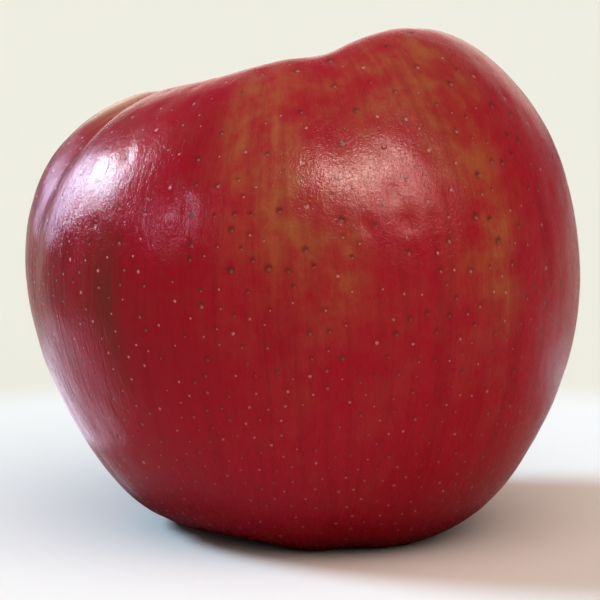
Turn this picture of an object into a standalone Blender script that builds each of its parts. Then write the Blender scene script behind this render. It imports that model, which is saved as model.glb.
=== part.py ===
"""A honeycrisp apple: five-lobed fruit, woody stem in its cavity, dried calyx in its basin."""

import math
from collections import namedtuple

import bmesh
import bpy
from mathutils import Matrix, Vector

MM = 0.001

# Profile of the fruit from the cavity floor over the rim to the calyx basin. Radius and height are in
# millimetres. The rest are shares: of each lobe's swell, rise and drop, of the furrows, of the lean and
# of the sway. A furrow pulls the side that "fall" names down (1) or up (-1).
Station = namedtuple("Station", "radius height swell rise drop furrow fall lean sway")
FLOOR_CENTRE = Station(0.0, 57.0, 0.0, 0.0, 0.0, 0.0, 0, 1.0, 1.0)
CAVITY_FLOOR = Station(4.5, 57.0, 0.1, 0.0, 0.0, 0.0, 0, 1.0, 1.0)
CAVITY_WALL = Station(10.0, 68.0, 0.4, 0.6, 0.0, 0.3, 1, 1.0, 1.0)
RIM = Station(17.0, 72.0, 0.8, 1.0, 0.0, 1.0, 1, 1.0, 1.0)
SHOULDER = Station(24.7, 74.5, 1.0, 1.0, 0.0, 1.0, 1, 1.0, 0.8)
UPPER_FLANK = Station(40.8, 61.0, 1.0, 0.3, 0.0, 0.3, 1, 0.4, 0.4)
EQUATOR = Station(44.0, 36.8, 0.6, 0.0, 0.0, 0.04, 0, 0.0, 0.0)
LOWER_FLANK = Station(38.2, 19.2, 0.6, 0.0, 0.2, 0.05, -1, 0.0, -0.4)
HEEL = Station(27.6, 3.4, 0.8, 0.0, 0.7, 0.2, -1, 0.0, -0.8)
FOOT = Station(14.0, 0.9, 1.0, 0.0, 1.0, 0.5, -1, 0.0, -1.0)
BASIN_WALL = Station(8.0, 4.0, 0.4, 0.0, 0.4, 0.2, -1, 0.0, -1.0)
BASIN_FLOOR = Station(4.0, 9.5, 0.0, 0.0, 0.0, 0.0, 0, 0.0, -1.0)
BASIN_CENTRE = Station(0.0, 9.5, 0.0, 0.0, 0.0, 0.0, 0, 0.0, -1.0)
PROFILE = (
    FLOOR_CENTRE, CAVITY_FLOOR, CAVITY_WALL, RIM, SHOULDER, UPPER_FLANK, EQUATOR,
    LOWER_FLANK, HEEL, FOOT, BASIN_WALL, BASIN_FLOOR, BASIN_CENTRE,
)

# Five lobes round the fruit, in degrees from the front (-Y) towards the right (+X). Swell is a share of
# the radius; rise at the rim and drop at the foot are in millimetres.
Lobe = namedtuple("Lobe", "at swell rise drop")
LOBES = (
    Lobe(at=-86, swell=0.056, rise=-0.5, drop=2.6),
    Lobe(at=-3, swell=0.0, rise=2.0, drop=2.3),
    Lobe(at=46, swell=0.037, rise=3.7, drop=2.2),
    Lobe(at=129, swell=0.064, rise=1.2, drop=2.5),
    Lobe(at=220, swell=0.050, rise=-5.6, drop=2.5),
)
LOBE_SHARPNESS = 5.5

# Furrows between the lobes: depth is a share of the radius.
Furrow = namedtuple("Furrow", "at depth sharpness")
FURROWS = (
    Furrow(at=-74, depth=0.050, sharpness=80),
    Furrow(at=-72, depth=0.035, sharpness=350),
    Furrow(at=12, depth=0.040, sharpness=50),
    Furrow(at=90, depth=0.020, sharpness=50),
    Furrow(at=166, depth=0.020, sharpness=50),
    Furrow(at=238, depth=0.020, sharpness=50),
)
FURROW_FALL = 28.0

# The crown leans up towards one side, and stands off the foot's centre.
LEAN_DEG = 9.0
LEAN_TOWARDS_DEG = 106.0
SWAY = -1.9

SEGMENTS = 84
RINGS = 38

# Blind pits that hold the stem and the calyx: where they start, as a share of the profile's first and
# last span, their depth in millimetres and how far they narrow.
STEM_PIT_SPAN = 0.42
STEM_PIT_DEPTH = 2.4
CALYX_PIT_SPAN = 0.55
CALYX_PIT_DEPTH = 1.3
PIT_TAPER = 0.94

CLEARANCE = 0.3

# Stem: stands in its pit, leans a little and ends in a knob where it broke from the spur.
STEM_HEIGHT = 15.6
STEM_BEND = 1.7
STEM_SIDES = 14
STEM_STEPS = 14
STEM_RADIUS = 1.25
STEM_KNOB_RADIUS = 2.0
STEM_ROOT_RADIUS = 1.45
STEM_KNOB_SLANT = 0.45

# Calyx: a short woody disc with five dried sepals curling out of it.
CALYX_DISC_RADIUS = 1.75
CALYX_DISC_HEIGHT = 2.2
CALYX_DISC_SIDES = 20
SEPAL_COUNT = 5
SEPAL_LENGTH = 5.6
SEPAL_WIDTH = 2.3
SEPAL_THICKNESS = 0.7
SEPAL_ROOT_RADIUS = 1.1
SEPAL_ROOT_HEIGHT = -0.6
SEPAL_STEPS = 7
SEPAL_START_DEG = 72.0
SEPAL_CURL_DEG = 64.0


def clear_scene():
    for item in list(bpy.data.objects):
        bpy.data.objects.remove(item, do_unlink=True)


def material(name, colour, roughness):
    surface = bpy.data.materials.new(name)
    surface.use_nodes = True
    shader = surface.node_tree.nodes["Principled BSDF"]
    shader.inputs["Base Color"].default_value = (*colour, 1.0)
    shader.inputs["Roughness"].default_value = roughness
    shader.inputs["Metallic"].default_value = 0.0
    return surface


def bump(bearing, at, sharpness):
    """A smooth swelling round the axis: 1 at its own bearing, 0 well away from it."""
    return math.exp(sharpness * (math.cos(bearing - math.radians(at)) - 1.0))


def station_point(station, bearing):
    """Control point of the profile at one bearing round the axis, in millimetres."""
    levels = [bump(bearing, lobe.at, LOBE_SHARPNESS) for lobe in LOBES]
    mean_swell = sum(lobe.swell for lobe in LOBES) / len(LOBES)
    swell = sum(level * lobe.swell for level, lobe in zip(levels, LOBES)) - 0.5 * mean_swell
    rise = sum(level * lobe.rise for level, lobe in zip(levels, LOBES))
    drop = sum(level * lobe.drop for level, lobe in zip(levels, LOBES))
    furrow = station.furrow * sum(cut.depth * bump(bearing, cut.at, cut.sharpness) for cut in FURROWS)
    radius = station.radius * (1.0 + station.swell * swell - furrow)
    slope = math.tan(math.radians(LEAN_DEG)) * math.cos(bearing - math.radians(LEAN_TOWARDS_DEG))
    height = station.height + station.rise * rise - station.drop * drop
    height += station.lean * station.radius * slope - station.fall * FURROW_FALL * furrow
    x = radius * math.sin(bearing) + station.sway * SWAY
    y = -radius * math.cos(bearing)
    return Vector((x, y, height))


def spline_point(columns, segment, along):
    """Point of a uniform cubic B-spline down one meridian, which runs on across both poles."""
    last = len(columns) - 1
    span = min(int(along), last - 1)
    part = along - span
    weights = (
        (1.0 - part) ** 3,
        3.0 * part ** 3 - 6.0 * part ** 2 + 4.0,
        -3.0 * part ** 3 + 3.0 * part ** 2 + 3.0 * part + 1.0,
        part ** 3,
    )
    opposite = (segment + SEGMENTS // 2) % SEGMENTS
    point = Vector((0.0, 0.0, 0.0))
    for offset, weight in enumerate(weights):
        row = span - 1 + offset
        if row < 0:
            control = columns[1][opposite]
        elif row > last:
            control = columns[last - 1][opposite]
        else:
            control = columns[row][segment]
        point += control * weight / 6.0
    return point


def pit_floor(ring, depth):
    """The ring at the bottom of a blind pit, and the pit's centre there."""
    centre = sum(ring, Vector((0.0, 0.0, 0.0))) / len(ring)
    moved = []
    for point in ring:
        deeper = centre + (point - centre) * PIT_TAPER
        deeper.z = centre.z + depth
        moved.append(deeper)
    return moved, Vector((centre.x, centre.y, centre.z + depth))


def fruit_rings():
    """Rings of points down the fruit, with the pit floors first and last, and the two pit centres."""
    bearings = [math.tau * segment / SEGMENTS for segment in range(SEGMENTS)]
    columns = [[station_point(station, bearing) for bearing in bearings] for station in PROFILE]
    first = STEM_PIT_SPAN
    length = len(PROFILE) - 1 - STEM_PIT_SPAN - CALYX_PIT_SPAN
    rings = []
    for ring in range(RINGS):
        along = first + length * ring / (RINGS - 1)
        rings.append([spline_point(columns, segment, along) for segment in range(SEGMENTS)])
    top_floor, top_centre = pit_floor(rings[0], -STEM_PIT_DEPTH)
    low_floor, low_centre = pit_floor(rings[-1], CALYX_PIT_DEPTH)
    return [top_floor, *rings, low_floor], top_centre, low_centre


def middle(rings):
    """Centre of the fruit's outline from above, which becomes the origin."""
    across = [point.x for ring in rings for point in ring]
    deep = [point.y for ring in rings for point in ring]
    return Vector(((min(across) + max(across)) / 2.0, (min(deep) + max(deep)) / 2.0, 0.0))


def lathe(mesh, rings, top_centre, low_centre):
    """Closed skin of quads through the rings, with a fan at each end."""
    rows = [[mesh.verts.new(point * MM) for point in ring] for ring in rings]
    top = mesh.verts.new(top_centre * MM)
    low = mesh.verts.new(low_centre * MM)
    count = len(rows[0])
    for here in range(count):
        after = (here + 1) % count
        mesh.faces.new((top, rows[0][here], rows[0][after]))
        mesh.faces.new((low, rows[-1][after], rows[-1][here]))
        for upper, lower in zip(rows, rows[1:]):
            mesh.faces.new((upper[here], lower[here], lower[after], upper[after]))


def flatten_feet(mesh):
    """Cut the lobes' lowest points flat at height zero and cap each cut."""
    parts = mesh.verts[:] + mesh.edges[:] + mesh.faces[:]
    bmesh.ops.bisect_plane(
        mesh, geom=parts, dist=1e-7, plane_co=(0.0, 0.0, 0.0), plane_no=(0.0, 0.0, 1.0), clear_inner=True
    )
    rim = [edge for edge in mesh.edges if edge.is_boundary]
    bmesh.ops.holes_fill(mesh, edges=rim, sides=0)


def finish_object(name, mesh, surface, smooth_deg):
    """Turn a bmesh into a named, shaded object."""
    bmesh.ops.recalc_face_normals(mesh, faces=mesh.faces)
    data = bpy.data.meshes.new(name)
    mesh.to_mesh(data)
    mesh.free()
    data.materials.append(surface)
    data.shade_smooth()
    data.set_sharp_from_angle(angle=math.radians(smooth_deg))
    item = bpy.data.objects.new(name, data)
    bpy.context.scene.collection.objects.link(item)
    return item


def build_fruit(rings, top_centre, low_centre):
    skin = material("apple_skin", (0.36, 0.018, 0.026), 0.3)
    mesh = bmesh.new()
    lathe(mesh, rings, top_centre, low_centre)
    flatten_feet(mesh)
    return finish_object("apple_body", mesh, skin, 50.0)


def stem_radius(share):
    """Thickness along the stem: a root flare, a slim middle and a knob at the top."""
    flare = (STEM_ROOT_RADIUS - STEM_RADIUS) * max(0.0, 1.0 - share / 0.25)
    knob = (STEM_KNOB_RADIUS - STEM_RADIUS) * max(0.0, (share - 0.72) / 0.28) ** 1.5
    return STEM_RADIUS + flare + knob


def build_stem(pit_centre):
    bark = material("stem_bark", (0.09, 0.05, 0.025), 0.75)
    base = pit_centre + Vector((0.0, 0.0, CLEARANCE))
    rings = []
    for step in range(STEM_STEPS + 1):
        share = step / STEM_STEPS
        centre = base + Vector((STEM_BEND * share ** 2, 0.4 * STEM_BEND * share ** 2, STEM_HEIGHT * share))
        radius = stem_radius(share)
        ring = []
        for side in range(STEM_SIDES):
            bearing = math.tau * side / STEM_SIDES
            slant = STEM_KNOB_SLANT * radius * math.cos(bearing) * max(0.0, share - 0.8) / 0.2
            ring.append(centre + Vector((radius * math.cos(bearing), -radius * math.sin(bearing), slant)))
        rings.append(ring)
    rings.reverse()
    top = sum(rings[0], Vector((0.0, 0.0, 0.0))) / STEM_SIDES + Vector((0.0, 0.0, 0.5))
    mesh = bmesh.new()
    lathe(mesh, rings, top, base)
    return finish_object("stem", mesh, bark, 60.0)


def fuse(base, collection):
    """Join a collection's solids to the base by a Boolean union, and drop them."""
    union = base.modifiers.new("union", "BOOLEAN")
    union.operation = "UNION"
    union.solver = "EXACT"
    union.operand_type = "COLLECTION"
    union.collection = collection
    graph = bpy.context.evaluated_depsgraph_get()
    joined = bpy.data.meshes.new_from_object(base.evaluated_get(graph))
    base.modifiers.clear()
    base.data = joined
    for item in list(collection.objects):
        bpy.data.objects.remove(item, do_unlink=True)
    bpy.data.collections.remove(collection)


def sepal_mesh(turn):
    """One dried sepal, turned round the axis: a tapered blade that starts steeply down and curls out."""
    mesh = bmesh.new()
    out = SEPAL_ROOT_RADIUS
    down = 0.0
    rows = []
    for step in range(SEPAL_STEPS + 1):
        share = step / SEPAL_STEPS
        angle = math.radians(SEPAL_START_DEG - SEPAL_CURL_DEG * share)
        half = 0.5 * SEPAL_WIDTH * (1.0 - 0.78 * share ** 1.4)
        thick = SEPAL_THICKNESS * (1.0 - 0.2 * share)
        normal = Vector((math.sin(angle), 0.0, math.cos(angle)))
        middle_point = Vector((out, 0.0, -down))
        corners = []
        for side, lift in ((-1, 1), (1, 1), (1, -1), (-1, -1)):
            point = middle_point + Vector((0.0, side * half, 0.0)) + normal * (lift * thick / 2.0)
            corners.append(mesh.verts.new(point * MM))
        rows.append(corners)
        out += math.cos(angle) * SEPAL_LENGTH / SEPAL_STEPS
        down += math.sin(angle) * SEPAL_LENGTH / SEPAL_STEPS
    for upper, lower in zip(rows, rows[1:]):
        for corner in range(4):
            after = (corner + 1) % 4
            mesh.faces.new((upper[corner], upper[after], lower[after], lower[corner]))
    mesh.faces.new(rows[0])
    mesh.faces.new(rows[-1])
    bmesh.ops.rotate(mesh, verts=mesh.verts, cent=(0.0, 0.0, 0.0), matrix=Matrix.Rotation(turn, 3, "Z"))
    return mesh


def build_calyx(pit_centre):
    husk = material("calyx_husk", (0.07, 0.045, 0.03), 0.85)
    top = pit_centre.z - CLEARANCE
    disc = bmesh.new()
    bmesh.ops.create_cone(
        disc, cap_ends=True, segments=CALYX_DISC_SIDES, radius1=CALYX_DISC_RADIUS * MM,
        radius2=CALYX_DISC_RADIUS * MM, depth=CALYX_DISC_HEIGHT * MM,
    )
    calyx = finish_object("calyx", disc, husk, 40.0)
    sepals = bpy.data.collections.new("sepals")
    for number in range(SEPAL_COUNT):
        mesh = sepal_mesh(math.tau * number / SEPAL_COUNT)
        blade = finish_object(f"sepal_{number + 1}", mesh, husk, 40.0)
        blade.location.z = SEPAL_ROOT_HEIGHT * MM
        bpy.context.scene.collection.objects.unlink(blade)
        sepals.objects.link(blade)
    bpy.context.scene.collection.children.link(sepals)
    bpy.context.view_layer.update()
    fuse(calyx, sepals)
    calyx.location = Vector((pit_centre.x, pit_centre.y, top - CALYX_DISC_HEIGHT / 2.0)) * MM
    return calyx


def main():
    clear_scene()
    rings, top_centre, low_centre = fruit_rings()
    origin = middle(rings)
    rings = [[point - origin for point in ring] for ring in rings]
    build_fruit(rings, top_centre - origin, low_centre - origin)
    build_stem(top_centre - origin)
    build_calyx(low_centre - origin)


main()
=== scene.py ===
"""Lobed apple: a finely modelled skin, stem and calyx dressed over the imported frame."""

import math
from collections import namedtuple

import bmesh
import bpy
from bpy.props import FloatProperty, FloatVectorProperty, IntProperty, PointerProperty
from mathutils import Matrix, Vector


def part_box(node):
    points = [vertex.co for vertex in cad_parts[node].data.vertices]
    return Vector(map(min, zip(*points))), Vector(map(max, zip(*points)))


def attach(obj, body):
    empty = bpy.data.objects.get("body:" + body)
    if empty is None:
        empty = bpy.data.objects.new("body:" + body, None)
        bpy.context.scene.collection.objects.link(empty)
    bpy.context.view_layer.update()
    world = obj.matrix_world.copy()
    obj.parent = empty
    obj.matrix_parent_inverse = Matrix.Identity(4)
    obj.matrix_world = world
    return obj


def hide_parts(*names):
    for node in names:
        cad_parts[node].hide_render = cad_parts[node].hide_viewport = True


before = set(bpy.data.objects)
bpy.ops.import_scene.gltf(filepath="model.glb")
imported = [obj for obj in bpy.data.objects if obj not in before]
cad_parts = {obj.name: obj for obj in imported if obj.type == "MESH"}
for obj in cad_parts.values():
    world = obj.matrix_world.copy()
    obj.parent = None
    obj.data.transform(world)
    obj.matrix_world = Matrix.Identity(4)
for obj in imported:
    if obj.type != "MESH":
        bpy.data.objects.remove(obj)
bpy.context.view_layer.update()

bl_info = {
    "name": "Lobed apple",
    "version": (1, 0, 0),
    "blender": (4, 5, 0),
    "location": "3D View > Sidebar > Apple",
    "description": "Builds a lobed apple with its stem, calyx, lenticels and a plain studio",
    "category": "Add Mesh",
}

MM = 0.001

# Profile of the fruit from the cavity floor over the rim to the calyx basin, in millimetres and shares.
Station = namedtuple("Station", "radius height swell rise drop furrow fall lean sway")
PROFILE = (
    Station(0.0, 57.0, 0.0, 0.0, 0.0, 0.0, 0, 1.0, 1.0),
    Station(4.5, 57.0, 0.1, 0.0, 0.0, 0.0, 0, 1.0, 1.0),
    Station(10.0, 68.0, 0.4, 0.6, 0.0, 0.3, 1, 1.0, 1.0),
    Station(17.0, 72.0, 0.8, 1.0, 0.0, 1.0, 1, 1.0, 1.0),
    Station(24.7, 74.5, 1.0, 1.0, 0.0, 1.0, 1, 1.0, 0.8),
    Station(40.8, 61.0, 1.0, 0.3, 0.0, 0.3, 1, 0.4, 0.4),
    Station(44.0, 36.8, 0.6, 0.0, 0.0, 0.04, 0, 0.0, 0.0),
    Station(38.2, 19.2, 0.6, 0.0, 0.2, 0.05, -1, 0.0, -0.4),
    Station(27.6, 3.4, 0.8, 0.0, 0.7, 0.2, -1, 0.0, -0.8),
    Station(14.0, 0.9, 1.0, 0.0, 1.0, 0.5, -1, 0.0, -1.0),
    Station(8.0, 4.0, 0.4, 0.0, 0.4, 0.2, -1, 0.0, -1.0),
    Station(4.0, 9.5, 0.0, 0.0, 0.0, 0.0, 0, 0.0, -1.0),
    Station(0.0, 9.5, 0.0, 0.0, 0.0, 0.0, 0, 0.0, -1.0),
)

# Lobes round the fruit, in degrees from the front towards the right.
Lobe = namedtuple("Lobe", "at swell rise drop")
LOBES = (
    Lobe(-86, 0.056, -0.5, 2.6),
    Lobe(-3, 0.0, 2.0, 2.3),
    Lobe(46, 0.037, 3.7, 2.2),
    Lobe(129, 0.064, 1.2, 2.5),
    Lobe(220, 0.050, -5.6, 2.5),
)
LOBE_SHARPNESS = 5.5

Furrow = namedtuple("Furrow", "at depth sharpness")
FURROWS = (
    Furrow(-74, 0.050, 80),
    Furrow(-72, 0.035, 350),
    Furrow(12, 0.040, 50),
    Furrow(90, 0.020, 50),
    Furrow(166, 0.020, 50),
    Furrow(238, 0.020, 50),
)
FURROW_FALL = 28.0
LEAN_DEG = 9.0
LEAN_TOWARDS_DEG = 106.0
SWAY = -1.9

# Where the skin is warm orange: bearing and width in degrees, place and width along the profile.
Blush = namedtuple("Blush", "at width along length strength")
BLUSHES = (
    Blush(-13, 9, 0.37, 0.07, 0.6),
    Blush(-3, 14, 0.43, 0.06, 0.9),
    Blush(5, 10, 0.475, 0.045, 0.7),
    Blush(27, 20, 0.36, 0.055, 1.0),
    Blush(0, 30, 0.34, 0.05, 0.35),
    Blush(38, 11, 0.38, 0.035, 0.85),
    Blush(36, 9, 0.44, 0.03, 0.55),
    Blush(40.5, 6.5, 0.482, 0.047, 0.95),
    Blush(31, 8, 0.495, 0.04, 0.3),
    Blush(112, 26, 0.40, 0.09, 0.9),
    Blush(180, 24, 0.44, 0.12, 0.9),
    Blush(232, 18, 0.38, 0.08, 0.8),
)

# Broad dimples that stand out on the upper half: place, and reach and depth in millimetres.
Dimple = namedtuple("Dimple", "at along reach depth")
DIMPLES = (
    Dimple(-28.5, 0.442, 3.0, -0.12),
    Dimple(-24.8, 0.433, 1.6, 0.22),
    Dimple(-21.5, 0.444, 1.9, -0.12),
    Dimple(-12.7, 0.443, 1.7, 0.20),
    Dimple(-7.8, 0.450, 1.7, 0.22),
    Dimple(13.2, 0.447, 1.8, 0.28),
    Dimple(19.0, 0.434, 1.9, 0.32),
    Dimple(20.5, 0.452, 2.0, 0.34),
    Dimple(26.5, 0.447, 1.6, 0.20),
    Dimple(9.0, 0.458, 1.6, 0.16),
    Dimple(62.0, 0.44, 2.0, 0.24),
    Dimple(120.0, 0.43, 2.0, 0.26),
    Dimple(196.0, 0.45, 2.2, 0.28),
    Dimple(262.0, 0.44, 1.9, 0.24),
)

# Reach of the pit round a lenticel, in radii of the lenticel.
PIT_REACH = 2.8

# Painted shade: the dark edge of a lenticel lies a little above it, on the upper wall of its pit.
PIT_SHADE_SHIFT = (-0.16 * MM, 0.0, 0.26 * MM)

# Painted shade: brown stripes beside the deep furrow, where the hollow skin catches no reflection, in the same
# measures.
FURROW_SHADES = (
    Blush(-43, 3.6, 0.488, 0.044, 0.95),
    Blush(-48, 3.0, 0.485, 0.045, 0.35),
    Blush(-39, 2.5, 0.535, 0.04, 0.22),
    Blush(170, 4.0, 0.48, 0.10, 0.7),
)

# Painted shade: deeper red, mostly on the far left lobe, where the skin is also wrinkled and glossier, in the same
# measures.
WRINKLES_AND_SHADES = (
    Blush(-70, 28, 0.48, 0.14, 0.8),
    Blush(-30, 13, 0.50, 0.07, 0.25),
    Blush(-24, 10, 0.385, 0.05, 0.30),
    Blush(150, 20, 0.52, 0.12, 0.4),
)

# Paler, tan skin, in the same measures.
PALES = (
    Blush(-88, 12, 0.335, 0.032, 1.0),
    Blush(172, 16, 0.32, 0.05, 0.8),
)

# Closest that a small lenticel comes to a large one.
CLEARANCE = 2.2 * MM

# How gently the underside turns into its flat feet.
FOOT_BLEND = 0.25 * MM

STEM_ROWS = 72
STEM_SIDES = 64
STEM_STEPS = 24
ROOT_GREEN = (0.16, 0.15, 0.03)
CUT_END = (0.035, 0.022, 0.015)
BARK_FLECK = (0.04, 0.026, 0.018)

SEPALS = 5
SEPAL_ROWS = 18
SEPAL_COLUMNS = 9
SEPAL_THICKNESS = 0.28 * MM
THREAD_LENGTH = 3.0 * MM
GOLDEN_ANGLE = 2.39996
HUSK_RIB = (0.17, 0.105, 0.055)

# Woody cup of the calyx, and how far its middle lies below the top of the frame's calyx.
CUP_FOOT_RADIUS = 1.55 * MM
CUP_TOP_RADIUS = 1.75 * MM
CUP_DEPTH = 2.0 * MM
CUP_SIDES = 48
CUP_SINK = 1.2 * MM

FLOOR_RADIUS = 30.0
FLOOR_SIDES = 96

# From the middle: where the floor turns to the backdrop's colour, and where its reflection darkens.
FLOOR_TURN = (0.115, 0.15)
FLOOR_SHADE = (0.036, 0.027)
SHADE_RED = (0.02, 0.0, 0.0)

LIGHT_AIM = Vector((0.0, 0.0, 0.04))
CAMERA_AIM = Vector((-0.0004, 0.0, 0.0357))

# Even light: direction, strength, spread in degrees, colour.
DAYLIGHTS = (
    ("window_daylight", (-0.79, 0.12, 0.60), 2.75, 18.0, (0.53, 0.80, 1.0)),
    ("lamp_daylight", (0.30, -0.54, 0.785), 1.60, 80.0, (0.96, 0.82, 0.74)),
)

# Lights that only show in the skin: direction, distance, size, power, colour.
SOFT_BOXES = (
    ("window_haze", (-0.80, 0.39, 0.46), 0.60, (0.24, 0.14), 0.85, (0.60, 0.66, 1.0)),
    ("window_core", (-0.776, 0.340, 0.532), 0.60, (0.10, 0.10), 1.9, (0.82, 0.92, 1.0)),
    ("window_low", (-0.841, 0.374, 0.391), 0.60, (0.05, 0.09), 0.7, (0.76, 0.84, 1.0)),
    ("window_left", (-0.891, 0.378, 0.250), 0.60, (0.035, 0.15), 1.1, (0.72, 0.78, 1.0)),
    ("window_high", (-0.856, 0.180, 0.485), 0.60, (0.06, 0.10), 1.7, (0.66, 0.82, 1.0)),
    ("window_right", (-0.934, 0.098, 0.342), 0.60, (0.03, 0.10), 1.1, (0.75, 0.80, 1.0)),
    ("window_edge", (-0.77, 0.602, 0.208), 0.60, (0.07, 0.21), 0.85, (0.66, 0.68, 1.0)),
    ("window_side", (-0.65, 0.697, 0.309), 0.60, (0.14, 0.14), 0.22, (0.70, 0.72, 1.0)),
    ("back_glow", (0.08, 0.93, 0.36), 1.00, (0.95, 0.50), 1.9, (1.0, 0.88, 0.72)),
    ("lamp_glow", (0.188, -0.674, 0.714), 0.70, (0.085, 0.10), 4.2, (1.0, 0.84, 0.74)),
    ("lamp_spill", (0.32, -0.69, 0.64), 0.70, (0.16, 0.13), 2.8, (1.0, 0.80, 0.72)),
    ("lamp_tail", (0.50, -0.68, 0.53), 0.70, (0.18, 0.14), 2.0, (1.0, 0.80, 0.72)),
    ("lamp_skirt", (0.645, -0.645, 0.41), 0.70, (0.22, 0.14), 1.2, (1.0, 0.72, 0.62)),
    ("side_glow", (-0.77, -0.47, 0.36), 0.60, (0.10, 0.10), 1.0, (0.80, 0.72, 1.0)),
)

# The same, lying flat under the floor and facing up: what the floor gives back to the skin.
FLOOR_BOXES = (
    ("floor_shine", (0.150, 0.060, -0.039), 0.1662, (0.15, 0.08), 0.019, (0.52, 0.83, 1.0)),
    ("floor_glow", (-0.100, 0.045, -0.039), 0.1165, (0.11, 0.12), 0.046, (0.74, 0.76, 1.0)),
)


def length_prop(name, description, default):
    """A length in metres that the panel shows."""
    return FloatProperty(name=name, description=description, default=default, subtype="DISTANCE", precision=5)


def colour_prop(name, description, default):
    """A colour that the panel shows."""
    return FloatVectorProperty(name=name, description=description, default=default, subtype="COLOR", size=3)


class SkinSettings(bpy.types.PropertyGroup):
    """Sizes and colours of the skin"""

    segments: IntProperty(name="Segments", description="Columns of the cage round the fruit", default=176, min=24)
    rings: IntProperty(name="Rings", description="Rows of the cage from stem to calyx", default=120, min=16)
    subdivisions: IntProperty(name="Subdivisions", description="Smoothing levels on the cage", default=1, max=2)
    ripple_height: length_prop("Ripple height", "Depth of the slow unevenness of the surface", 0.42 * MM)
    ripple_size: length_prop("Ripple size", "Width of one swell of the unevenness", 11.0 * MM)
    large_spacing: length_prop("Large dot spacing", "Least distance between large lenticels", 5.2 * MM)
    small_spacing: length_prop("Small dot spacing", "Least distance between small lenticels", 2.1 * MM)
    dent_depth: length_prop("Dent depth", "Depth of the dent round a large lenticel", 0.17 * MM)
    seed: IntProperty(name="Seed", description="Fixes the places of the lenticels", default=7)
    crimson: colour_prop("Crimson", "Main colour of the skin", (0.338, 0.0085, 0.0215))
    wine_and_shade: colour_prop("Wine", "Darker streaks and the underside", (0.088, 0.0003, 0.0016))
    orange: colour_prop("Orange", "Warm patches on the sunny side", (0.335, 0.050, 0.034))
    olive: colour_prop("Olive", "Unripe flecks inside the warm patches", (0.370, 0.145, 0.042))
    shade_brown: colour_prop("Umber", "Brown stripes beside the deep furrow", (0.115, 0.022, 0.012))
    dot: colour_prop("Lenticel", "Colour of the pale dots", (0.52, 0.20, 0.21))
    russet: colour_prop("Russet", "Corky skin in the stem cavity", (0.27, 0.15, 0.055))
    green: colour_prop("Green", "Ground colour in the cavity and the basin", (0.36, 0.33, 0.07))
    bare: colour_prop("Bare", "Pale skin that never saw the sun", (0.50, 0.30, 0.19))


class StemSettings(bpy.types.PropertyGroup):
    """Sizes and colours of the stem"""

    radius: length_prop("Radius", "Radius at the slim middle", 1.25 * MM)
    root_radius: length_prop("Root radius", "Radius where the stem meets the fruit", 1.45 * MM)
    knob_radius: length_prop("Knob radius", "Radius of the knob at the end", 2.0 * MM)
    bend: length_prop("Bend", "How far the stem leans", 1.7 * MM)
    ridge_depth: length_prop("Ridge depth", "Depth of the ridges along the bark", 0.16 * MM)
    bark: colour_prop("Bark", "Colour of the bark", (0.105, 0.055, 0.024))
    bark_light: colour_prop("Worn bark", "Paler ridges of the bark", (0.26, 0.17, 0.085))


class CalyxSettings(bpy.types.PropertyGroup):
    """Sizes and colours of the dried calyx"""

    sepal_length: length_prop("Sepal length", "Length of one dried sepal", 5.6 * MM)
    sepal_width: length_prop("Sepal width", "Width of a sepal at its root", 2.5 * MM)
    stamens: IntProperty(name="Stamens", description="Number of dried stamens", default=14)
    husk: colour_prop("Husk", "Colour of the dried sepals", (0.075, 0.045, 0.026))
    down: colour_prop("Down", "Pale down on the sepals", (0.30, 0.24, 0.16))


class StageSettings(bpy.types.PropertyGroup):
    """Floor, backdrop, lights and camera"""

    distance: length_prop("Camera distance", "From the camera to its aim", 0.38)
    elevation: FloatProperty(
        name="Camera elevation", description="Angle of the camera above the horizon",
        default=math.radians(7.5), subtype="ANGLE",
    )
    lens: FloatProperty(name="Lens", description="Focal length in millimetres", default=145.0)
    floor: colour_prop("Floor", "Colour of the floor by the fruit", (0.84, 0.80, 0.765))
    backdrop: colour_prop("Backdrop", "Colour of the backdrop", (0.76, 0.70, 0.60))
    sheen: colour_prop("Sheen", "What the skin reflects where no light does", (0.33, 0.32, 0.35))
    fill: colour_prop("Fill", "Colour of the soft light all round", (0.295, 0.278, 0.255))


def feed(tree, socket, value):
    """Link an input to another node, or set its own value."""
    if isinstance(value, bpy.types.NodeSocket):
        tree.links.new(value, socket)
    else:
        socket.default_value = value


def node(tree, kind, inputs=None, **settings):
    """Add a node, set its properties, and feed its inputs."""
    item = tree.nodes.new(kind)
    for name, value in settings.items():
        setattr(item, name, value)
    for key, value in (inputs or {}).items():
        feed(tree, item.inputs[key], value)
    return item


def calc(tree, operation, *values, clamp=False):
    """Output of a Math node."""
    return node(tree, "ShaderNodeMath", dict(enumerate(values)), operation=operation, use_clamp=clamp).outputs[0]


def times(tree, first, second, clamp=False):
    """Product of two values."""
    return calc(tree, "MULTIPLY", first, second, clamp=clamp)


def plus(tree, first, second, clamp=False):
    """Sum of two values."""
    return calc(tree, "ADD", first, second, clamp=clamp)


def minus(tree, first, second):
    """The first value less the second."""
    return calc(tree, "SUBTRACT", first, second)


def vector(tree, operation, *values):
    """Output of a Vector Math node, a number for a length or a distance."""
    keys = (0, "Scale") if operation == "SCALE" else (0, 1)
    item = node(tree, "ShaderNodeVectorMath", dict(zip(keys, values)), operation=operation)
    return item.outputs["Value" if operation in {"LENGTH", "DISTANCE"} else "Vector"]


def combine(tree, x, y, z):
    """Three values as one vector."""
    return node(tree, "ShaderNodeCombineXYZ", {0: x, 1: y, 2: z}).outputs[0]


def separate(tree, value):
    """The three values of a vector."""
    return node(tree, "ShaderNodeSeparateXYZ", {0: value}).outputs


def ramp(tree, value, start, end, low=0.0, high=1.0):
    """A value carried from start..end to low..high, with soft ends."""
    inputs = {"Value": value, "From Min": start, "From Max": end, "To Min": low, "To Max": high}
    return node(tree, "ShaderNodeMapRange", inputs, clamp=True, interpolation_type="SMOOTHSTEP").outputs["Result"]


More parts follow.
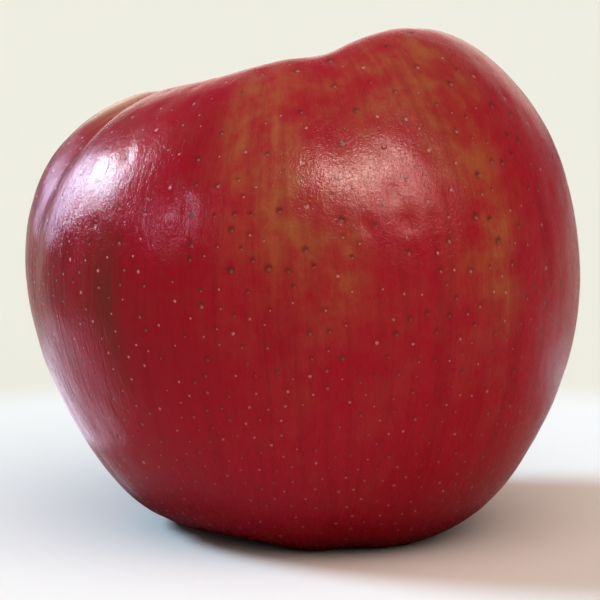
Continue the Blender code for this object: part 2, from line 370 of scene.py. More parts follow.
def noise(tree, place, scale, detail=2.0, roughness=0.5, distortion=0.0):
    """Value of a noise texture."""
    return node(tree, "ShaderNodeTexNoise", {
        "Vector": place, "Scale": scale, "Detail": detail, "Roughness": roughness, "Distortion": distortion,
    }).outputs[0]


def blend(tree, factor, under, over):
    """Colour of one layer over another: the node's colours are its inputs 6 and 7, and its output 2."""
    item = node(tree, "ShaderNodeMix", {0: factor}, data_type="RGBA", blend_type="MIX")
    for index, colour in ((6, under), (7, over)):
        feed(tree, item.inputs[index], colour if isinstance(colour, bpy.types.NodeSocket) else (*colour, 1.0))
    return item.outputs[2]


def named(tree, kind, name):
    """A named attribute inside a geometry tree."""
    return node(tree, "GeometryNodeInputNamedAttribute", {"Name": name}, data_type=kind).outputs["Attribute"]


def store(tree, geometry, kind, domain, name, value):
    """Keep a field on the geometry under a name."""
    inputs = {"Geometry": geometry, "Name": name, "Value": value}
    item = node(tree, "GeometryNodeStoreNamedAttribute", inputs, data_type=kind, domain=domain)
    return item.outputs["Geometry"]


def push(tree, geometry, direction, depth):
    """Move points by a depth along their direction."""
    offset = vector(tree, "SCALE", direction, depth)
    return node(tree, "GeometryNodeSetPosition", {"Geometry": geometry, "Offset": offset}).outputs[0]


def join(tree, *parts):
    """Several geometries as one."""
    item = tree.nodes.new("GeometryNodeJoinGeometry")
    for part in parts:
        tree.links.new(part, item.inputs[0])
    return item.outputs[0]


def geometry_tree(name, sockets):
    """A new modifier tree with its geometry sockets and named inputs."""
    tree = bpy.data.node_groups.new(name, "GeometryNodeTree")
    tree.is_modifier = True
    tree.interface.new_socket("Geometry", in_out="INPUT", socket_type="NodeSocketGeometry")
    tree.interface.new_socket("Geometry", in_out="OUTPUT", socket_type="NodeSocketGeometry")
    for title, kind in sockets:
        tree.interface.new_socket(title, in_out="INPUT", socket_type="NodeSocket" + kind)
    return tree, tree.nodes.new("NodeGroupInput").outputs, tree.nodes.new("NodeGroupOutput")


def finish_tree(tree, geometry, material, result):
    """End a tree the same way each time: real meshes with their material."""
    real = node(tree, "GeometryNodeRealizeInstances", {"Geometry": geometry}).outputs[0]
    smooth = node(tree, "GeometryNodeSetShadeSmooth", {"Geometry": real}).outputs[0]
    dressed = node(tree, "GeometryNodeSetMaterial", {"Geometry": smooth, "Material": material}).outputs[0]
    tree.links.new(dressed, result.inputs[0])


def as_mesh(form, name):
    """Keep what was built by hand as a named mesh."""
    mesh = bpy.data.meshes.new(name)
    form.to_mesh(mesh)
    form.free()
    return mesh


def as_object(name, data):
    """Put a mesh, a light or a camera in the scene."""
    item = bpy.data.objects.new(name, data)
    bpy.context.scene.collection.objects.link(item)
    return item


def grow(name, base, tree, settings, material, replaced):
    """Run a geometry tree on a base mesh, keep its result as a plain piece and put it in the frame.

    Each input of the tree takes the panel's value of the same name.
    """
    seed_object = as_object(name + "_base", base)
    modifier = seed_object.modifiers.new(tree.name, "NODES")
    modifier.node_group = tree
    for item in tree.interface.items_tree:
        if item.in_out == "INPUT" and item.name == "Material":
            modifier[item.identifier] = material
        elif item.in_out == "INPUT" and item.name != "Geometry":
            modifier[item.identifier] = getattr(settings, item.name.lower().replace(" ", "_"))
    graph = bpy.context.evaluated_depsgraph_get()
    mesh = bpy.data.meshes.new_from_object(seed_object.evaluated_get(graph))
    mesh.name = name
    bpy.data.objects.remove(seed_object, do_unlink=True)
    piece = as_object(name, mesh)
    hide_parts(replaced)
    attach(piece, "root")
    return piece


def shader_group(name, inputs, outputs):
    """A new shader node group with named inputs and outputs."""
    tree = bpy.data.node_groups.new(name, "ShaderNodeTree")
    for title, kind, value in inputs:
        socket = tree.interface.new_socket(title, in_out="INPUT", socket_type="NodeSocket" + kind)
        socket.default_value = value
    for title in outputs:
        tree.interface.new_socket(title, in_out="OUTPUT", socket_type="NodeSocketFloat")
    return tree, tree.nodes.new("NodeGroupInput").outputs, tree.nodes.new("NodeGroupOutput").inputs


def grain_group():
    """Fibres or streaks that run along a surface: a noise squeezed across and drawn out lengthwise."""
    if "Drawn-out grain" in bpy.data.node_groups:
        return bpy.data.node_groups["Drawn-out grain"]
    inputs = (
        ("Place", "Vector", (0, 0, 0)), ("Across", "Float", 10.0), ("Along", "Float", 2.0), ("Contrast", "Float", 2.0),
    )
    tree, given, result = shader_group("Drawn-out grain", inputs, ["Mask", "Height"])
    stretch = combine(tree, given["Across"], given["Across"], given["Along"])
    place = vector(tree, "MULTIPLY", given["Place"], stretch)
    wave = noise(tree, place, 1.0, 3.0, 0.6, 0.7)
    centred = minus(tree, wave, 0.5)
    mask = plus(tree, times(tree, centred, given["Contrast"]), 0.5, clamp=True)
    tree.links.new(mask, result["Mask"])
    tree.links.new(wave, result["Height"])
    return tree


def speckle_group():
    """Fine flecks, the same in every direction."""
    if "Speckle" in bpy.data.node_groups:
        return bpy.data.node_groups["Speckle"]
    inputs = (("Place", "Vector", (0, 0, 0)), ("Size", "Float", 0.001), ("Amount", "Float", 0.5))
    tree, given, result = shader_group("Speckle", inputs, ["Mask"])
    scale = calc(tree, "DIVIDE", 1.0, given["Size"])
    cloud = noise(tree, given["Place"], scale, 4.0, 0.65)
    start = minus(tree, 0.85, times(tree, given["Amount"], 0.6))
    mask = ramp(tree, cloud, start, plus(tree, start, 0.18))
    tree.links.new(mask, result["Mask"])
    return tree


def grain(tree, place, across, along, contrast):
    """The drawn-out grain with a material's own values: its mask and its height."""
    inputs = {"Place": place, "Across": across, "Along": along, "Contrast": contrast}
    return node(tree, "ShaderNodeGroup", inputs, node_tree=grain_group()).outputs


def speckle(tree, place, size, amount):
    """The speckle with a material's own values."""
    inputs = {"Place": place, "Size": size, "Amount": amount}
    return node(tree, "ShaderNodeGroup", inputs, node_tree=speckle_group()).outputs["Mask"]


def attribute(tree, name, output="Vector"):
    """A named attribute inside a material."""
    return node(tree, "ShaderNodeAttribute", attribute_name=name).outputs[output]


def new_material(name):
    """A material with an empty Principled shader."""
    material = bpy.data.materials.new(name)
    material.use_nodes = True
    tree = material.node_tree
    return material, tree, tree.nodes["Principled BSDF"]


def relief(tree, shader, height, strength, distance):
    """Fine relief from a height, on a material's shader."""
    item = node(tree, "ShaderNodeBump", {"Height": height, "Strength": strength, "Distance": distance})
    tree.links.new(item.outputs[0], shader.inputs["Normal"])


def swelling(bearing, at, sharpness):
    """A smooth swelling round the axis: 1 at its own bearing, 0 well away from it."""
    return math.exp(sharpness * (math.cos(bearing - math.radians(at)) - 1.0))


def station_point(station, bearing):
    """Control point of the profile at one bearing round the axis, in millimetres."""
    levels = [swelling(bearing, lobe.at, LOBE_SHARPNESS) for lobe in LOBES]
    mean_swell = sum(lobe.swell for lobe in LOBES) / len(LOBES)
    swell = sum(level * lobe.swell for level, lobe in zip(levels, LOBES)) - 0.5 * mean_swell
    rise = sum(level * lobe.rise for level, lobe in zip(levels, LOBES))
    drop = sum(level * lobe.drop for level, lobe in zip(levels, LOBES))
    furrow = station.furrow * sum(cut.depth * swelling(bearing, cut.at, cut.sharpness) for cut in FURROWS)
    radius = station.radius * (1.0 + station.swell * swell - furrow)
    slope = math.tan(math.radians(LEAN_DEG)) * math.cos(bearing - math.radians(LEAN_TOWARDS_DEG))
    height = station.height + station.rise * rise - station.drop * drop
    height += station.lean * station.radius * slope - station.fall * FURROW_FALL * furrow
    x = radius * math.sin(bearing) + station.sway * SWAY
    y = -radius * math.cos(bearing)
    return Vector((x, y, height))


def spline_point(columns, column, along):
    """Point of a uniform cubic B-spline down one meridian, which runs on across both poles."""
    last = len(columns) - 1
    span = min(int(along), last - 1)
    part = along - span
    weights = (
        (1.0 - part) ** 3,
        3.0 * part ** 3 - 6.0 * part ** 2 + 4.0,
        -3.0 * part ** 3 + 3.0 * part ** 2 + 3.0 * part + 1.0,
        part ** 3,
    )
    opposite = (column + len(columns[0]) // 2) % len(columns[0])
    point = Vector((0.0, 0.0, 0.0))
    for offset, weight in enumerate(weights):
        row = span - 1 + offset
        if row < 0:
            control = columns[1][opposite]
        elif row > last:
            control = columns[last - 1][opposite]
        else:
            control = columns[row][column]
        point += control * weight / 6.0
    return point


def patches(marks, bearing, along):
    """How much of a kind of marking there is at one place."""
    total = 0.0
    for blush in marks:
        turn = (math.degrees(bearing) - blush.at + 180.0) % 360.0 - 180.0
        total += blush.strength * math.exp(-(turn / blush.width) ** 2 - ((along - blush.along) / blush.length) ** 2)
    return min(total, 1.2)


def skin_cage(segments, rings):
    """Closed cage of the fruit with its place along and round the profile kept on each vertex."""
    bearings = [math.tau * segment / segments for segment in range(segments)]
    columns = [[station_point(station, bearing) for bearing in bearings] for station in PROFILE]
    spans = len(PROFILE) - 1
    rows = []
    for ring in range(1, rings):
        along = spans * ring / rings
        rows.append([spline_point(columns, column, along) for column in range(segments)])
    across = [point.x for row in rows for point in row]
    deep = [point.y for row in rows for point in row]
    low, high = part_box("apple_body")
    offset = Vector((
        (low.x + high.x) / 2.0 - MM * (min(across) + max(across)) / 2.0,
        (low.y + high.y) / 2.0 - MM * (min(deep) + max(deep)) / 2.0,
        0.0,
    ))
    cage = bmesh.new()
    meridian = cage.verts.layers.float_vector.new("meridian")
    markings = (("warmth", BLUSHES), ("brown", FURROW_SHADES), ("wrinkles_and_painted_shade", WRINKLES_AND_SHADES), ("pale", PALES))
    layers = [(cage.verts.layers.float.new(name), marks) for name, marks in markings]
    grid = []
    for number, row in enumerate(rows):
        share = (number + 1) / rings
        made = []
        for bearing, point in zip(bearings, row):
            vertex = cage.verts.new(point * MM + offset)
            vertex[meridian] = Vector((math.sin(bearing), -math.cos(bearing), share))
            for layer, marks in layers:
                vertex[layer] = patches(marks, bearing, share)
            made.append(vertex)
        grid.append(made)
    top = cage.verts.new(columns[0][0] * MM + offset)
    low_pole = cage.verts.new(columns[-1][0] * MM + offset)
    low_pole[meridian] = Vector((0.0, 0.0, 1.0))
    for here in range(segments):
        after = (here + 1) % segments
        cage.faces.new((top, grid[0][here], grid[0][after]))
        cage.faces.new((low_pole, grid[-1][after], grid[-1][here]))
        for upper, lower in zip(grid, grid[1:]):
            cage.faces.new((upper[here], lower[here], lower[after], upper[after]))
    return as_mesh(cage, "skin_cage")


def dimple_points(settings):
    """A point for each broad dimple, with its reach and depth."""
    cage = skin_cage(settings.segments, settings.rings)
    marks = bmesh.new()
    reach = marks.verts.layers.float.new("reach")
    depth = marks.verts.layers.float.new("depth")
    for dimple in DIMPLES:
        ring = round(dimple.along * settings.rings) - 1
        segment = round(dimple.at / 360.0 * settings.segments) % settings.segments
        vertex = marks.verts.new(cage.vertices[ring * settings.segments + segment].co)
        vertex[reach] = dimple.reach * MM
        vertex[depth] = dimple.depth * MM
    bpy.data.meshes.remove(cage)
    return as_object("dimple_points", as_mesh(marks, "dimple_points"))


def random_value(tree, low, high, seed):
    """A fixed random number for each point: the node's range is its inputs 2 and 3, and its seed input 8."""
    item = node(tree, "FunctionNodeRandomValue", {2: low, 3: high, 8: seed}, data_type="FLOAT")
    return item.outputs[1]


def scatter(tree, skin, spacing, factor, seed):
    """Points spread over the skin, no two closer than the spacing."""
    item = node(
        tree, "GeometryNodeDistributePointsOnFaces",
        {"Mesh": skin, "Distance Min": spacing, "Density Max": 1.0e6, "Density Factor": factor, "Seed": seed},
        distribute_method="POISSON",
    )
    return item.outputs["Points"], item.outputs["Normal"]


def nearest(tree, points, place):
    """Index of the point nearest to each place."""
    return node(
        tree, "GeometryNodeSampleNearest", {"Geometry": points, "Sample Position": place}, domain="POINT",
    ).outputs["Index"]


def sample(tree, points, kind, value, index):
    """A value read from one point."""
    inputs = {"Geometry": points, "Value": value, "Index": index}
    return node(tree, "GeometryNodeSampleIndex", inputs, data_type=kind, domain="POINT").outputs["Value"]


def pit_depth(tree, least, most, seed):
    """Depth of a lenticel's pit: mostly near the least, seldom near the most."""
    chance = calc(tree, "POWER", random_value(tree, 0.0, 1.0, seed), 3.0)
    return plus(tree, times(tree, chance, most), least)


def press_dents(tree, skin, points, position, normal):
    """Push the skin in round each point, by the point's own depth and reach."""
    index = nearest(tree, points, position)
    centre = sample(tree, points, "FLOAT_VECTOR", position, index)
    reach = sample(tree, points, "FLOAT", named(tree, "FLOAT", "reach"), index)
    depth = sample(tree, points, "FLOAT", named(tree, "FLOAT", "depth"), index)
    away = vector(tree, "DISTANCE", position, centre)
    press = times(tree, ramp(tree, away, reach, 0.0), depth)
    return push(tree, skin, normal, times(tree, press, -1.0))


def skin_tree(dimples):
    """Geometry nodes: smooth and ripple the cage, press a dent round each lenticel, flatten the feet."""
    tree, given, result = geometry_tree("Fruit skin", [
        ("Subdivisions", "Int"), ("Ripple height", "Float"), ("Ripple size", "Float"), ("Large spacing", "Float"),
        ("Small spacing", "Float"), ("Dent depth", "Float"), ("Seed", "Int"), ("Material", "Material"),
    ])
    position = tree.nodes.new("GeometryNodeInputPosition").outputs[0]
    normal = tree.nodes.new("GeometryNodeInputNormal").outputs[0]
    skin = node(
        tree, "GeometryNodeSubdivisionSurface", {"Mesh": given["Geometry"], "Level": given["Subdivisions"]},
    ).outputs[0]

    # Slow ripple of the surface.
    slow = noise(tree, position, calc(tree, "DIVIDE", 1.0, given["Ripple size"]), 1.0)
    quick = noise(tree, position, calc(tree, "DIVIDE", 2.7, given["Ripple size"]), 2.0)
    quick = times(tree, minus(tree, quick, 0.5), 0.4)
    wave = plus(tree, minus(tree, slow, 0.5), quick)
    skin = push(tree, skin, normal, times(tree, wave, given["Ripple height"]))

    # Few large and many small lenticels, none in the cavity or the basin, each with its own traits.
    along = separate(tree, named(tree, "FLOAT_VECTOR", "meridian"))[2]
    outside = times(tree, ramp(tree, along, 0.14, 0.24), ramp(tree, along, 0.86, 0.80))
    many_low = times(tree, ramp(tree, along, 0.25, 0.68, 0.10, 1.0), outside)
    few_low = times(tree, ramp(tree, along, 0.30, 0.75, 0.75, 0.25), outside)
    large, large_normal = scatter(tree, skin, given["Large spacing"], few_low, given["Seed"])
    next_seed = plus(tree, given["Seed"], 1)
    small, small_normal = scatter(tree, skin, given["Small spacing"], many_low, next_seed)
    broad = node(tree, "GeometryNodeObjectInfo", {"Object": dimples}).outputs["Geometry"]
    shallower = ramp(tree, along, 0.35, 0.70, 1.0, 0.35)
    strong = times(tree, random_value(tree, 0.15, 1.0, 13), shallower)
    large_traits = (
        ("size", random_value(tree, 0.16 * MM, 0.24 * MM, 11)),
        ("pit", pit_depth(tree, 0.030 * MM, 0.07 * MM, 51)),
        ("reach", random_value(tree, 1.6 * MM, 2.9 * MM, 12)),
        ("depth", times(tree, strong, given["Dent depth"])),
    )
    small_traits = (
        ("size", random_value(tree, 0.10 * MM, 0.18 * MM, 21)),
        ("pit", pit_depth(tree, 0.014 * MM, 0.035 * MM, 52)),
        ("reach", random_value(tree, 0.8 * MM, 1.1 * MM, 22)),
        ("depth", times(tree, random_value(tree, 0.05, 0.22, 23), given["Dent depth"])),
    )
    for name, value in large_traits:
        large = store(tree, large, "FLOAT", "POINT", name, value)
    for name, value in small_traits:
        small = store(tree, small, "FLOAT", "POINT", name, value)
    big_place = sample(tree, large, "FLOAT_VECTOR", position, nearest(tree, large, position))
    crowded = calc(tree, "LESS_THAN", vector(tree, "DISTANCE", position, big_place), CLEARANCE)
    small = node(
        tree, "GeometryNodeDeleteGeometry", {"Geometry": small, "Selection": crowded}, domain="POINT",
    ).outputs[0]

    for points in (broad, large, small):
        skin = press_dents(tree, skin, points, position, normal)

    # Each face keeps the place and the traits of the lenticel nearest to it, for the material.
    inward = times(tree, named(tree, "FLOAT", "depth"), -1.0)
    dots = join(tree, push(tree, large, large_normal, inward), push(tree, small, small_normal, inward))
    closest = nearest(tree, dots, position)
    dot_place = sample(tree, dots, "FLOAT_VECTOR", position, closest)
    chance = random_value(tree, 0.0, 1.0, 53)
    traits = combine(tree, named(tree, "FLOAT", "size"), named(tree, "FLOAT", "pit"), chance)
    dot_traits = sample(tree, dots, "FLOAT_VECTOR", traits, closest)
    skin = store(tree, skin, "FLOAT_VECTOR", "FACE", "dot_centre", dot_place)
    skin = store(tree, skin, "FLOAT_VECTOR", "FACE", "dot_traits", dot_traits)

    # Flat feet at the height that the fruit rests on.
    x, y, z = separate(tree, position)
    rested = combine(tree, x, y, calc(tree, "SMOOTH_MAX", z, 0.0, FOOT_BLEND))
    skin = node(tree, "GeometryNodeSetPosition", {"Geometry": skin, "Position": rested}).outputs[0]
    finish_tree(tree, skin, given["Material"], result)
    return tree


def skin_material(colours):
    """Waxy skin: crimson with warm patches and streaks, pale lenticels, russet cavity, fine grain, and painted shade.
    """
    material, tree, shader = new_material("apple_skin_wax")
    place = node(tree, "ShaderNodeTexCoord").outputs["Object"]
    meridian = attribute(tree, "meridian")
    warm = attribute(tree, "warmth", "Fac")
    wrinkles_and_painted_shade = attribute(tree, "wrinkles_and_painted_shade", "Fac")
    along = separate(tree, meridian)[2]

    broad = grain(tree, meridian, 6.0, 7.0, 2.4)["Mask"]
    streak = grain(tree, meridian, 22.0, 7.0, 1.7)["Mask"]
    hair = grain(tree, meridian, 66.0, 110.0, 2.4)
    wrinkle = grain(tree, meridian, 38.0, 36.0, 1.0)["Height"]
    fleck = speckle(tree, place, 0.9 * MM, 0.45)
    cloud = minus(tree, noise(tree, place, 1.0 / (6.0 * MM), 5.0, 0.6), 0.5)
    mottle = minus(tree, noise(tree, place, 1.0 / (1.2 * MM), 3.0, 0.6), 0.5)

    # How much of each colour there is.
    uneven = plus(tree, times(tree, warm, 0.5), ramp(tree, along, 0.66, 0.48, 0.52, 0.72))
    clouded = times(tree, cloud, times(tree, uneven, 2.1))
    patch = plus(tree, times(tree, warm, 0.66), clouded)
    patch = plus(tree, patch, times(tree, minus(tree, broad, 0.42), 0.20), clamp=True)
    patch = plus(tree, patch, times(tree, times(tree, mottle, uneven), 0.5), clamp=True)
    unripe = plus(tree, times(tree, streak, 0.35), times(tree, cloud, 1.7))
    green_patch = times(tree, ramp(tree, warm, 0.35, 1.1), ramp(tree, unripe, 0.0, 0.75))
    dark = times(tree, ramp(tree, streak, 0.60, 0.10), ramp(tree, warm, 0.0, 0.8, 0.20, 0.15))
    # Painted shade: the skin turns darker wine towards the bottom, where little light reaches.
    low = ramp(tree, along, 0.56, 0.75)
    # Painted shade: wine over the far left lobe and a few smaller places.
    painted_shade = times(tree, wrinkles_and_painted_shade, plus(tree, cloud, 0.72), clamp=True)
    bare = times(tree, attribute(tree, "pale", "Fac"), plus(tree, streak, 0.4), clamp=True)
    flecked = times(tree, fleck, ramp(tree, warm, 0.0, 0.8, 0.0, 0.14))
    # Painted shade: brown stripes beside the deep furrow.
    furrow_shade_share = times(tree, attribute(tree, "brown", "Fac"), plus(tree, streak, 0.35), clamp=True)
    cavity = ramp(tree, plus(tree, along, times(tree, streak, 0.06)), 0.20, 0.12)
    corky = ramp(tree, plus(tree, along, times(tree, hair["Mask"], 0.08)), 0.17, 0.08)
    basin = ramp(tree, minus(tree, along, times(tree, streak, 0.05)), 0.84, 0.93)

    # A lenticel is a ragged pale dot in a pit, with painted shade a little above it.
    centre = attribute(tree, "dot_centre")
    away = vector(tree, "DISTANCE", place, centre)
    size, sink, chance = separate(tree, attribute(tree, "dot_traits"))
    ragged = times(tree, minus(tree, noise(tree, place, 1.0 / (0.22 * MM)), 0.5), size)
    ragged = plus(tree, away, times(tree, ragged, 1.6))
    dot = ramp(tree, ragged, times(tree, size, 1.6), times(tree, size, 0.5))
    shade = vector(tree, "DISTANCE", place, vector(tree, "ADD", centre, PIT_SHADE_SHIFT))
    # Painted shade: a dark edge a little above each lenticel.
    pit_shade = ramp(tree, shade, times(tree, size, 4.4), times(tree, size, 1.2))
    pit_shade = times(tree, pit_shade, ramp(tree, along, 0.62, 0.44, 0.6, 1.7))
    pit = ramp(tree, away, times(tree, size, PIT_REACH), 0.0)
    pit_shade_share = times(tree, pit_shade, ramp(tree, chance, 1.0, 0.1, 0.04, 0.40))
    bright = times(tree, ramp(tree, chance, 0.0, 1.0, 0.20, 0.95), ramp(tree, along, 0.46, 0.64, 1.0, 0.78))

    # Coats of colour, from the ground up; the wine towards the bottom and on the far left lobe, and the brown of the
    # furrow stripes and lenticel edges, are painted shade.
    coats = (
        (patch, colours.orange),
        (times(tree, green_patch, 0.72), colours.olive),
        (dark, colours.wine_and_shade),
        (times(tree, low, 0.94), colours.wine_and_shade),
        (painted_shade, colours.wine_and_shade),
        (bare, colours.bare),
        (flecked, colours.olive),
        (times(tree, furrow_shade_share, 0.8), colours.shade_brown),
        (times(tree, cavity, 0.7), colours.green),
        (corky, colours.russet),
        (times(tree, basin, 0.75), colours.green),
        (pit_shade_share, colours.shade_brown),
        (times(tree, dot, bright), colours.dot),
    )
    colour = colours.crimson
    for share, coat in coats:
        colour = blend(tree, share, colour, coat)
    tree.links.new(colour, shader.inputs["Base Color"])

    rough = plus(tree, times(tree, hair["Mask"], 0.06), ramp(tree, wrinkles_and_painted_shade, 0.02, 0.35, 0.24, 0.16))
    rough = plus(tree, rough, times(tree, dot, 0.20))
    rough = plus(tree, rough, times(tree, corky, 0.35))
    tree.links.new(rough, shader.inputs["Roughness"])
    shader.inputs["IOR"].default_value = 1.22
    shader.inputs["Subsurface Weight"].default_value = 0.06
    shader.inputs["Subsurface Radius"].default_value = (1.0, 0.25, 0.15)
    shader.inputs["Subsurface Scale"].default_value = 1.2 * MM

    # Fine relief: pores, peel, hair-thin grooves, wrinkles, and the lenticels' pits.
    pores = noise(tree, place, 1.0 / (0.45 * MM), 2.0, 0.5, 1.2)
    peel = noise(tree, place, 1.0 / (1.3 * MM), 2.0, 0.5, 0.6)
    height = times(tree, hair["Height"], 0.018 * MM)
    height = plus(tree, height, times(tree, pores, 0.040 * MM))
    height = plus(tree, height, times(tree, peel, 0.038 * MM))
    folded = plus(tree, times(tree, wrinkles_and_painted_shade, 0.14 * MM), 0.010 * MM)
    height = plus(tree, height, times(tree, wrinkle, folded))
    height = minus(tree, height, times(tree, pit, sink))
    height = plus(tree, height, times(tree, times(tree, dot, size), 0.06))
    height = plus(tree, height, times(tree, times(tree, corky, fleck), 0.12 * MM))
    relief(tree, shader, height, 1.0, 1.0)
    return material


def stem_tree():
    """Geometry nodes: sweep a ridged, bent rod along the stem's line."""
    tree, given, result = geometry_tree("Ridged stem", [
        ("Radius", "Float"), ("Root radius", "Float"), ("Knob radius", "Float"), ("Ridge depth", "Float"),
        ("Material", "Material"),
    ])
    line = node(tree, "GeometryNodeMeshToCurve", {"Mesh": given["Geometry"]}).outputs[0]
    line = node(tree, "GeometryNodeResampleCurve", {"Curve": line, "Count": STEM_ROWS}).outputs[0]
    share = tree.nodes.new("GeometryNodeSplineParameter").outputs["Factor"]
    root = ramp(tree, share, 0.25, 0.0, 0.0, minus(tree, given["Root radius"], given["Radius"]))
    knob = ramp(tree, share, 0.70, 0.97, 0.0, minus(tree, given["Knob radius"], given["Radius"]))
    worn = ramp(tree, share, 0.95, 1.0, 0.0, 0.45 * MM)
    thickness = minus(tree, plus(tree, plus(tree, given["Radius"], root), knob), worn)
    line = node(tree, "GeometryNodeSetCurveRadius", {"Curve": line, "Radius": thickness}).outputs[0]
    line = store(tree, line, "FLOAT", "POINT", "share", share)
    ring = node(tree, "GeometryNodeCurvePrimitiveCircle", {"Resolution": STEM_SIDES, "Radius": 1.0}).outputs[0]
    radius = tree.nodes.new("GeometryNodeInputRadius").outputs[0]
    swept = node(tree, "GeometryNodeCurveToMesh", {
        "Curve": line, "Profile Curve": ring, "Scale": radius, "Fill Caps": True,
    }).outputs[0]
    position = tree.nodes.new("GeometryNodeInputPosition").outputs[0]
    normal = tree.nodes.new("GeometryNodeInputNormal").outputs[0]
    drawn = vector(tree, "MULTIPLY", position, (1.0, 1.0, 0.16))
    ridge = minus(tree, noise(tree, drawn, 1.0 / (0.8 * MM), 2.0), 0.62)
    lump = minus(tree, noise(tree, position, 1.0 / (3.0 * MM), 1.0), 0.55)
    out = times(tree, plus(tree, ridge, lump), given["Ridge depth"])
    finish_tree(tree, push(tree, swept, normal, out), given["Material"], result)
    return tree


def bark_material(colours):
    """Dry bark with paler ridges and a greenish root."""
    material, tree, shader = new_material("stem_bark_dry")
    place = node(tree, "ShaderNodeTexCoord").outputs["Object"]
    fibre = grain(tree, place, 1900.0, 260.0, 3.0)
    fleck = speckle(tree, place, 0.7 * MM, 0.5)
    share = attribute(tree, "share", "Fac")
    colour = blend(tree, fibre["Mask"], colours.bark, colours.bark_light)
    colour = blend(tree, times(tree, ramp(tree, share, 0.30, 0.05), 0.5), colour, ROOT_GREEN)
    colour = blend(tree, times(tree, ramp(tree, share, 0.90, 1.0), 0.6), colour, CUT_END)
    colour = blend(tree, times(tree, fleck, 0.35), colour, BARK_FLECK)
    tree.links.new(colour, shader.inputs["Base Color"])
    tree.links.new(plus(tree, times(tree, fibre["Mask"], 0.2), 0.6), shader.inputs["Roughness"])
    relief(tree, shader, fibre["Height"], 0.7, 0.12 * MM)
    return material


def stem_line(settings):
    """The stem's centre line, standing where the frame's stem stands."""
    low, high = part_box("stem")
    root = Vector((low.x + settings.root_radius, low.y + settings.root_radius, low.z))
    height = high.z - low.z - 0.35 * settings.knob_radius
    line = bmesh.new()
    before = None
    for step in range(STEM_STEPS + 1):
        share = step / STEM_STEPS
        sideways = settings.bend * share ** 2
        here = line.verts.new(root + Vector((sideways, 0.4 * sideways, height * share)))
        if before:
            line.edges.new((before, here))
        before = here
    return as_mesh(line, "stem_line")


def face_order(face):
    """A number that sorts faces by their corners, because solidify lists rim faces in any order."""
    corners = [vertex.index for vertex in face.verts]
    return min(corners) * 1000 + max(corners)


def sepal_blade(settings):
    """One dried sepal as a thin curled blade along +X, rolled in at its edges."""
    blade = bmesh.new()
    grid = []
    out = 1.0 * MM
    down = 0.0
    for row in range(SEPAL_ROWS + 1):
        share = row / SEPAL_ROWS
        angle = math.radians(74.0 - 70.0 * share)
        half = 0.5 * settings.sepal_width * (1.0 - share) ** 0.65 + 0.12 * MM
        normal = Vector((math.sin(angle), 0.0, math.cos(angle)))
        made = []
        for column in range(SEPAL_COLUMNS):
            side = 2.0 * column / (SEPAL_COLUMNS - 1) - 1.0
            roll = 0.30 * half * side ** 2 + 0.10 * half * math.sin(9.0 * share + 4.0 * side)
            made.append(blade.verts.new(Vector((out, side * half, -down)) - normal * roll))
        grid.append(made)
        out += math.cos(angle) * settings.sepal_length / SEPAL_ROWS
        down += math.sin(angle) * settings.sepal_length / SEPAL_ROWS
    for upper, lower in zip(grid, grid[1:]):
        for column in range(SEPAL_COLUMNS - 1):
            blade.faces.new((upper[column], lower[column], lower[column + 1], upper[column + 1]))
    bmesh.ops.recalc_face_normals(blade, faces=blade.faces)
    bmesh.ops.solidify(blade, geom=blade.faces[:], thickness=SEPAL_THICKNESS)
    blade.verts.index_update()
    blade.faces.sort(key=face_order)
    return as_object("sepal_blade", as_mesh(blade, "sepal_blade"))


def calyx_tree(blade):
    """Geometry nodes: five sepals round a woody cup, with dried stamens in the middle."""
    tree, given, result = geometry_tree("Dried calyx", [("Stamens", "Int"), ("Material", "Material")])
    index = tree.nodes.new("GeometryNodeInputIndex").outputs[0]
    sepal = node(tree, "GeometryNodeObjectInfo", {"Object": blade}).outputs["Geometry"]
    spots = node(tree, "GeometryNodePoints", {"Count": SEPALS}).outputs[0]
    turn = plus(tree, times(tree, index, math.tau / SEPALS), random_value(tree, -0.12, 0.12, 31))
    tip = random_value(tree, -0.22, 0.16, 32)
    facing = combine(tree, random_value(tree, -0.3, 0.3, 34), tip, turn)
    size = random_value(tree, 0.82, 1.0, 33)
    sepals = node(tree, "GeometryNodeInstanceOnPoints", {
        "Points": spots, "Instance": sepal, "Rotation": facing, "Scale": size,
    }).outputs[0]

    thread = node(tree, "GeometryNodeMeshCone", {
        "Vertices": 6, "Side Segments": 4, "Radius Top": 0.09 * MM, "Radius Bottom": 0.12 * MM, "Depth": THREAD_LENGTH,
    }).outputs[0]
    thread = node(tree, "GeometryNodeTransform", {"Geometry": thread, "Rotation": (math.pi, 0.0, 0.0)}).outputs[0]
    anther = node(tree, "GeometryNodeMeshIcoSphere", {"Radius": 0.26 * MM, "Subdivisions": 2}).outputs[0]
    anther = node(tree, "GeometryNodeTransform", {
        "Geometry": anther, "Translation": (0.0, 0.0, -THREAD_LENGTH), "Scale": (0.8, 0.8, 1.4),
    }).outputs[0]
    seats = node(tree, "GeometryNodePoints", {"Count": given["Stamens"]}).outputs[0]
    around = plus(tree, times(tree, index, GOLDEN_ANGLE), random_value(tree, -0.3, 0.3, 41))
    spread = random_value(tree, 0.15 * MM, 0.95 * MM, 42)
    seat_x = times(tree, calc(tree, "COSINE", around), spread)
    seat_y = times(tree, calc(tree, "SINE", around), spread)
    seat = combine(tree, seat_x, seat_y, -0.6 * MM)
    seats = node(tree, "GeometryNodeSetPosition", {"Geometry": seats, "Position": seat}).outputs[0]
    lean = combine(tree, random_value(tree, -0.45, 0.45, 43), random_value(tree, -0.45, 0.45, 44), around)
    stamens = node(tree, "GeometryNodeInstanceOnPoints", {
        "Points": seats, "Instance": join(tree, thread, anther), "Rotation": lean,
        "Scale": random_value(tree, 0.6, 1.0, 45),
    }).outputs[0]
    finish_tree(tree, join(tree, given["Geometry"], sepals, stamens), given["Material"], result)
    return tree


